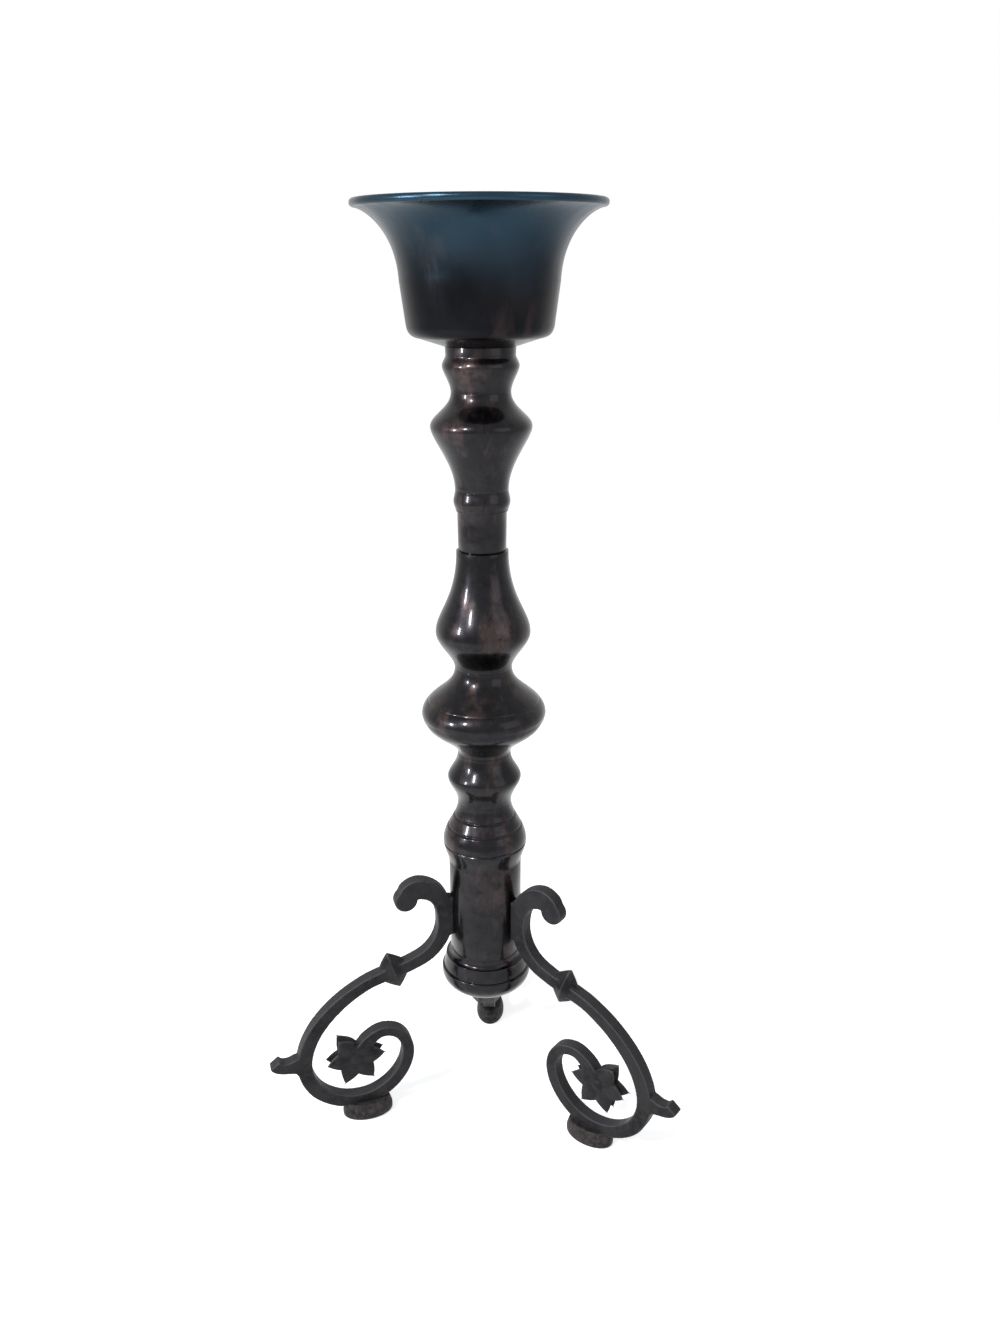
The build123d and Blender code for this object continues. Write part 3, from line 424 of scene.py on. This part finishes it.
LEG_DIRECTIONS = {"left": 196.0, "right": -37.0, "back": 88.0}
BAR_THICKNESS, BAR_FULLNESS, BAR_EASE, BAR_KEEN = 7.2, 0.7, 0.8, 0.8
LEG_VOXEL = 0.00048
BAR = [
    (26.4, 137.8, 8.0), (24.4, 142.3, 10.4), (18.4, 143.9, 11.2), (10.6, 140.4, 10.0), (6.2, 133.8, 9.0),
    (4.5, 125.5, 8.4), (4.9, 117.0, 8.0), (8.4, 108.4, 7.4), (15.0, 101.4, 6.9), (24.0, 97.0, 6.6),
    (34.7, 93.6, 6.5), (50.9, 88.4, 6.1), (68.4, 77.0, 6.8), (82.2, 60.8, 7.4), (88.2, 42.0, 7.8),
    (83.6, 25.6, 7.5), (71.9, 15.1, 7.1), (57.0, 11.6, 6.9), (42.6, 16.0, 6.7), (31.8, 27.2, 6.4),
    (28.2, 40.6, 6.1), (32.6, 51.6, 5.6), (42.4, 55.2, 5.2), (51.0, 50.6, 6.4), (57.0, 43.0, 7.0),
]


def smooth_line(rows, steps=7):
    """Stations (x, z, width) on a smooth line through the rows."""
    knots = [Vector((DRUM_RADIUS + out, up, width)) for out, up, width in rows]
    slopes = [(knots[min(k + 1, len(knots) - 1)] - knots[max(k - 1, 0)]) / 2 for k in range(len(knots))]
    line = []
    for k in range(len(knots) - 1):
        span = (knots[k + 1] - knots[k]).length
        first = slopes[k].normalized() * span / 3
        last = slopes[k + 1].normalized() * span / 3
        line += interpolate_bezier(knots[k], knots[k] + first, knots[k + 1] - last, knots[k + 1], steps)[:-1]
    return line + [knots[-1]]


def bar_between(shape, line, thickness, ease):
    """A square bar drawn station by station along a line in the XZ plane."""
    end = None
    for index, station in enumerate(line):
        before, after = line[max(index - 1, 0)], line[min(index + 1, len(line) - 1)]
        along = Vector((after.x - before.x, 0, after.y - before.y)).normalized()
        across = Vector((-along.z, 0, along.x)) * station.z / 2
        middle = Vector((station.x, 0, station.y))
        side = Vector((0, thickness / 2, 0))
        corners = [middle + across - side, middle + across + side,
                   middle - across + side, middle - across - side]
        if end is None:
            end = shape.faces.new([shape.verts.new(corner * MM) for corner in corners])
            continue
        grown = bmesh.ops.extrude_face_region(shape, geom=[end])["geom"]
        far = next(item for item in grown if isinstance(item, bmesh.types.BMFace))
        for vertex, corner in zip(far.verts, corners):
            vertex.co = corner * MM
        if index > 1:
            bmesh.ops.delete(shape, geom=[end], context="FACES_ONLY")
        end = far
    bmesh.ops.recalc_face_normals(shape, faces=shape.faces)
    keen = [edge for edge in shape.edges if edge.is_manifold and edge.calc_face_angle() > BAR_KEEN]
    break_edges(shape, keen, ease, 3, True)


def lozenge(shape, centre, slope, half_length, half_height, half_depth):
    """Ridged knuckle: a ball drawn out to four points, hollow between them."""
    ball = bmesh.ops.create_uvsphere(shape, u_segments=48, v_segments=32, radius=1.0)["verts"]
    for vertex in ball:
        lean = abs(vertex.co.x) ** 1.55 + abs(vertex.co.z) ** 1.55
        vertex.co.x = math.copysign(abs(vertex.co.x) ** 2.0, vertex.co.x)
        vertex.co.z = math.copysign(abs(vertex.co.z) ** 1.3, vertex.co.z)
        vertex.co.y *= 1.0 - 0.25 * min(1.0, lean)
    size = Matrix.Diagonal((half_length * MM, half_depth * MM, half_height * MM, 1.0))
    place = Matrix.Translation(centre * MM) @ Matrix.Rotation(-slope, 4, "Y")
    bmesh.ops.transform(shape, matrix=place @ size, verts=ball)


def leaf(shape, centre, bearing, flare, length, width, thickness):
    """One petal: a ball drawn to a point, with a ridge along its middle."""
    ball = bmesh.ops.create_uvsphere(shape, u_segments=24, v_segments=16, radius=1.0)["verts"]
    for vertex in ball:
        reach = (vertex.co.x + 1) / 2
        full = math.sin(math.pi * min(1.0, reach * 1.05) ** 0.8) if reach < 0.95 else 0.06
        spread = math.hypot(vertex.co.y, vertex.co.z) or 1.0
        broad = vertex.co.y / spread * full * (1 - 0.25 * abs(vertex.co.z))
        vertex.co = Vector((reach, broad, vertex.co.z / spread * full))
    size = Matrix.Diagonal((length * MM, thickness / 2 * MM, width / 2 * MM, 1.0))
    place = Matrix.Translation(centre * MM) @ Matrix.Rotation(-bearing, 4, "Y") @ Matrix.Rotation(flare, 4, "Z")
    bmesh.ops.transform(shape, matrix=place @ size, verts=ball)


casting = bmesh.new()
fuller = [(out, up, width + BAR_FULLNESS) for out, up, width in BAR]
bar_between(casting, smooth_line(fuller), BAR_THICKNESS, BAR_EASE)

EYE_CENTRE, EYE_RADIUS, EYE_EASE = Vector((46.5, 0, 137.8)), 6.5, 1.1
eye_shape = bmesh.new()
bmesh.ops.create_cone(eye_shape, cap_ends=True, segments=64, radius1=EYE_RADIUS * MM, radius2=EYE_RADIUS * MM,
                      depth=BAR_THICKNESS * MM)
rims = [edge for edge in eye_shape.edges if edge.calc_face_angle() > BAR_KEEN]
break_edges(eye_shape, rims, EYE_EASE, 3)
lying = Matrix.Translation(EYE_CENTRE * MM) @ Matrix.Rotation(math.pi / 2, 4, "X")
bmesh.ops.transform(eye_shape, verts=eye_shape.verts, matrix=lying)

SPUR = [(86.8, 40.0, 13.0), (91.6, 42.4, 10.6), (96.4, 42.4, 7.4), (100.6, 42.8, 6.6), (103.4, 44.2, 6.8),
        (104.9, 46.0, 6.8)]
SPUR_THICKNESS, SPUR_EASE = BAR_THICKNESS - 0.2, 0.9
spur_shape = bmesh.new()
bar_between(spur_shape, smooth_line(SPUR, 6), SPUR_THICKNESS, SPUR_EASE)

SADDLE_CENTRE, SADDLE_DEPTH, SADDLE_HEIGHT, SADDLE_EASE = Vector((22.4, 0, 124.0)), 5.6, 24.0, 0.9
saddle_shape = bmesh.new()
block = Matrix.Diagonal((SADDLE_DEPTH * MM, BAR_THICKNESS * MM, SADDLE_HEIGHT * MM, 1.0))
bmesh.ops.create_cube(saddle_shape, size=1.0, matrix=Matrix.Translation(SADDLE_CENTRE * MM) @ block)
break_edges(saddle_shape, list(saddle_shape.edges), SADDLE_EASE, 3)

KNUCKLE_CENTRE, KNUCKLE_SLOPE = Vector((54.8, 0, 93.6)), math.radians(-17.0)
KNUCKLE_HALF_LENGTH, KNUCKLE_HALF_HEIGHT, KNUCKLE_HALF_DEPTH = 9.6, 12.2, 5.8
bloom = bmesh.new()
lozenge(bloom, KNUCKLE_CENTRE, KNUCKLE_SLOPE, KNUCKLE_HALF_LENGTH, KNUCKLE_HALF_HEIGHT, KNUCKLE_HALF_DEPTH)
FLOWER_CENTRE, BOSS_RADIUS, BOSS_DEPTH = Vector((78.9, 0, 40.4)), 5.2, 5.0
PETALS, FIRST_PETAL, PETAL_STEP, PETAL_FLARE = 5, 55.0, 60.0, math.radians(9.0)
PETAL_LENGTH, PETAL_WIDTH, PETAL_THICKNESS, PETAL_OFFSET = 18.4, 12.0, 5.6, 0.6
boss = Matrix.Diagonal((BOSS_RADIUS * MM, BOSS_DEPTH * MM, BOSS_RADIUS * MM, 1.0))
bmesh.ops.create_uvsphere(bloom, u_segments=32, v_segments=16, radius=1.0,
                          matrix=Matrix.Translation(FLOWER_CENTRE * MM) @ boss)
for index in range(PETALS):
    bearing = math.radians(FIRST_PETAL - PETAL_STEP * index)
    for face_side in (-1, 1):
        leaf(bloom, FLOWER_CENTRE + Vector((0, face_side * PETAL_OFFSET, 0)), bearing, face_side * PETAL_FLARE,
             PETAL_LENGTH, PETAL_WIDTH, PETAL_THICKNESS)

parts = []
for name, shape in (("bar", casting), ("eye", eye_shape), ("spur", spur_shape), ("saddle", saddle_shape),
                    ("bloom", bloom)):
    mesh = bpy.data.meshes.new(name)
    shape.to_mesh(mesh)
    shape.free()
    parts.append(mesh)
pattern = bmesh.new()
for mesh in parts:
    pattern.from_mesh(mesh)
    bpy.data.meshes.remove(mesh)
pattern_mesh = bpy.data.meshes.new("leg_pattern")
pattern.to_mesh(pattern_mesh)
pattern.free()
pattern_object = bpy.data.objects.new("leg_pattern", pattern_mesh)
bpy.context.scene.collection.objects.link(pattern_object)
fuse = pattern_object.modifiers.new("fuse", "REMESH")
fuse.mode = "VOXEL"
fuse.voxel_size = LEG_VOXEL
soften = pattern_object.modifiers.new("soften", "SMOOTH")
soften.factor = 0.5
soften.iterations = 3
bpy.context.view_layer.update()
fused = bpy.data.meshes.new_from_object(pattern_object.evaluated_get(bpy.context.evaluated_depsgraph_get()))
bpy.data.objects.remove(pattern_object)



def only(items, kind):
    """What a bmesh operator gave back, of one kind."""
    return [item for item in items if isinstance(item, kind)]


PAD_HEIGHT = 10.0
SADDLE_REACH = (DRUM_RADIUS + 0.02) * MM
for side, direction in LEG_DIRECTIONS.items():
    leg = bmesh.new()
    leg.from_mesh(fused)
    flat = bmesh.ops.bisect_plane(leg, geom=leg.verts[:] + leg.edges[:] + leg.faces[:], dist=1e-7,
                                  plane_co=(0, 0, PAD_HEIGHT * MM), plane_no=(0, 0, -1), clear_outer=True)
    bmesh.ops.holes_fill(leg, edges=only(flat["geom_cut"], bmesh.types.BMEdge), sides=0)
    for vertex in leg.verts:
        reach = math.hypot(vertex.co.x, vertex.co.y)
        if reach < SADDLE_REACH:
            vertex.co.x *= SADDLE_REACH / reach
            vertex.co.y *= SADDLE_REACH / reach
    bearing = Matrix.Rotation(math.radians(direction), 3, "Z")
    bmesh.ops.rotate(leg, verts=leg.verts, cent=(0, 0, 0), matrix=bearing)
    for face in leg.faces:
        face.smooth = True
    piece(f"leg_{side}", leg, iron, "cast_iron", f"leg_{side}")


# Leg screws: slotted steel screws from inside the drum, two to a leg, out of sight
# once the collar is on. Foot screws: one countersunk in the underside of each pad.
for side in LEG_DIRECTIONS:
    finish_node(f"leg_screws_{side}", plain_steel)
    finish_node(f"foot_screw_{side}", plain_steel)


# Foot pads: oval cast iron feet, drawn in at the top, rounded where they meet the
# floor, and browner than the legs where they have rubbed.
PAD_DARK, PAD_LIGHT, PAD_RUBBED = (0.01, 0.01, 0.012, 1), (0.028, 0.026, 0.026, 1), (0.055, 0.047, 0.043, 1)
pad_iron, tree, shader = metal("pad_iron", Metallic=0.3, Specular_IOR_Level=0.12)
skin = old_skin(tree, 70.0, 600.0, 1.0)
tone = mixed(tree, ranged(tree, skin.outputs["Cloud"], 0.35, 0.65), PAD_DARK, PAD_LIGHT)
tone = mixed(tree, skin.outputs["Stain"], tone, PAD_RUBBED)
tree.links.new(tone, shader.inputs["Base Color"])
tree.links.new(ranged(tree, skin.outputs["Cloud"], 0.3, 0.7, 0.42, 0.62), shader.inputs["Roughness"])
relief(tree, shader, skin, 0.6, 0.0005)

PAD_OUT, PAD_STEP = 73.1, PAD_HEIGHT / 2
PAD_HALF_LENGTH, PAD_HALF_WIDTH = 14.6, 8.8
PAD_TOP_HALF_LENGTH, PAD_TOP_HALF_WIDTH = 13.0, 7.4
PAD_FOOT_EASE, PAD_TOP_EASE, PAD_KEEN, PAD_LEVEL = 2.4, 0.7, 0.15, 0.1
for side, direction in LEG_DIRECTIONS.items():
    pad = bmesh.new()
    bmesh.ops.create_circle(pad, cap_ends=True, segments=96, radius=1.0)
    bmesh.ops.scale(pad, vec=(PAD_HALF_LENGTH * MM, PAD_HALF_WIDTH * MM, 1.0), verts=pad.verts)
    lower = bmesh.ops.extrude_face_region(pad, geom=pad.faces[:])["geom"]
    bmesh.ops.translate(pad, vec=(0, 0, PAD_STEP * MM), verts=only(lower, bmesh.types.BMVert))
    top_face = only(lower, bmesh.types.BMFace)
    upper = bmesh.ops.extrude_face_region(pad, geom=top_face)["geom"]
    bmesh.ops.delete(pad, geom=top_face, context="FACES_ONLY")
    rim = only(upper, bmesh.types.BMVert)
    bmesh.ops.translate(pad, vec=(0, 0, PAD_STEP * MM), verts=rim)
    drawn_in = (PAD_TOP_HALF_LENGTH / PAD_HALF_LENGTH, PAD_TOP_HALF_WIDTH / PAD_HALF_WIDTH, 1.0)
    bmesh.ops.scale(pad, vec=drawn_in, verts=rim)
    bmesh.ops.recalc_face_normals(pad, faces=pad.faces)
    low_edges = [edge for edge in pad.edges if max(vertex.co.z for vertex in edge.verts) < PAD_LEVEL * MM]
    break_edges(pad, low_edges, PAD_FOOT_EASE, 6)
    level = [edge for edge in pad.edges if min(vertex.co.z for vertex in edge.verts) > (PAD_STEP - 1.0) * MM
             and abs(edge.verts[0].co.z - edge.verts[1].co.z) < PAD_LEVEL * MM]
    break_edges(pad, [edge for edge in level if edge.calc_face_angle() > PAD_KEEN], PAD_TOP_EASE, 3)
    place = Matrix.Rotation(math.radians(direction), 4, "Z") @ Matrix.Translation((PAD_OUT * MM, 0, 0))
    bmesh.ops.transform(pad, matrix=place, verts=pad.verts)
    for face in pad.faces:
        face.smooth = len(face.verts) == 4
    piece(f"foot_pad_{side}", pad, pad_iron, "cast_iron", f"foot_pad_{side}")


# Floor: a plain pale sheet that takes the object's shadow. World: white where the
# camera, gloss or glass sees it, and a plain soft grey as light.
def seen_sharply(tree):
    """One where the camera, a gloss or a glass sees the surface, and nought as light."""
    seen = put(tree, "LightPath")
    sharp = put(tree, "Math", {0: seen.outputs["Is Camera Ray"], 1: seen.outputs["Is Glossy Ray"]},
                operation="MAXIMUM")
    sharp = put(tree, "Math", {0: sharp.outputs[0], 1: seen.outputs["Is Transmission Ray"]},
                operation="MAXIMUM")
    return sharp.outputs[0]


FLOOR_REACH, FLOOR_GLOW = 6.0, 0.62
floor_white, tree, shader = metal("floor_white", Base_Color=(0.8, 0.8, 0.8, 1), Roughness=0.9,
                                  Specular_IOR_Level=0.0)
glow = put(tree, "Emission", {"Color": (1, 1, 1, 1), "Strength": FLOOR_GLOW})
nothing = put(tree, "Emission", {"Strength": 0.0})
chosen = put(tree, "MixShader", {0: seen_sharply(tree), 1: nothing.outputs[0], 2: glow.outputs[0]})
both = put(tree, "AddShader", {0: shader.outputs[0], 1: chosen.outputs[0]})
tree.links.new(both.outputs[0], tree.nodes["Material Output"].inputs["Surface"])
ground = bmesh.new()
bmesh.ops.create_grid(ground, x_segments=1, y_segments=1, size=FLOOR_REACH)
floor_mesh = bpy.data.meshes.new("floor")
ground.to_mesh(floor_mesh)
ground.free()
floor = bpy.data.objects.new("floor", floor_mesh)
bpy.context.scene.collection.objects.link(floor)
floor_mesh.materials.append(floor_white)

world = bpy.data.worlds.new("studio")
bpy.context.scene.world = world
world.use_nodes = True
tree = world.node_tree
tree.nodes.clear()
white = put(tree, "Background", {"Color": (1, 1, 1, 1), "Strength": 1.0})
soft = put(tree, "Background", {"Color": (0.95, 0.97, 1, 1), "Strength": 0.5})
sky = put(tree, "MixShader", {0: seen_sharply(tree), 1: soft.outputs[0], 2: white.outputs[0]})
tree.links.new(sky.outputs[0], put(tree, "OutputWorld").inputs["Surface"])


# Lamps: two window-like softboxes at the left, one above the other, and a wide weak
# one at the right.
def softbox(name, place, aim, width, height, watts, colour):
    """A rectangular area lamp turned to face a point."""
    lamp = bpy.data.lights.new(name, "AREA")
    lamp.shape = "RECTANGLE"
    lamp.size, lamp.size_y, lamp.energy, lamp.color = width, height, watts, colour
    made = bpy.data.objects.new(name, lamp)
    made.location = place
    made.rotation_euler = (Vector(aim) - Vector(place)).to_track_quat("-Z", "Y").to_euler()
    bpy.context.scene.collection.objects.link(made)


softbox("window_upper", (-0.62, -0.78, 0.95), (0, 0, 0.3), 0.1, 0.18, 11.0, (1, 0.99, 0.97))
softbox("window_side", (-0.95, -0.5, 0.6), (0, 0, 0.28), 0.09, 0.2, 10.0, (0.95, 0.98, 1))
softbox("fill_right", (1.1, -0.9, 0.8), (0, 0, 0.25), 0.9, 0.9, 3.0, (0.96, 0.98, 1))


# Camera: at the photograph's place, a little below the rim of the cup and near.
FOCAL_MM, SENSOR_MM, NEAREST = 31.0, 36.0, 0.01
CAMERA_PLACE = (0, -0.5738, 0.4717)
PITCH, YAW, ROLL = math.radians(19.36), math.radians(0.877), math.radians(-0.22)
forward = Vector((math.sin(YAW) * math.cos(PITCH), math.cos(YAW) * math.cos(PITCH), -math.sin(PITCH)))
level = Vector((math.cos(YAW), -math.sin(YAW), 0))
rise = level.cross(forward)
right = math.cos(ROLL) * level + math.sin(ROLL) * rise
up = -math.sin(ROLL) * level + math.cos(ROLL) * rise
lens = bpy.data.cameras.new("camera")
lens.lens, lens.sensor_width, lens.clip_start = FOCAL_MM, SENSOR_MM, NEAREST
camera = bpy.data.objects.new("camera", lens)
turn = Matrix((right, up, -forward)).transposed()
camera.matrix_world = Matrix.Translation(CAMERA_PLACE) @ turn.to_4x4()
bpy.context.scene.collection.objects.link(camera)
bpy.context.scene.camera = camera
bpy.context.scene.view_settings.view_transform = "Standard"
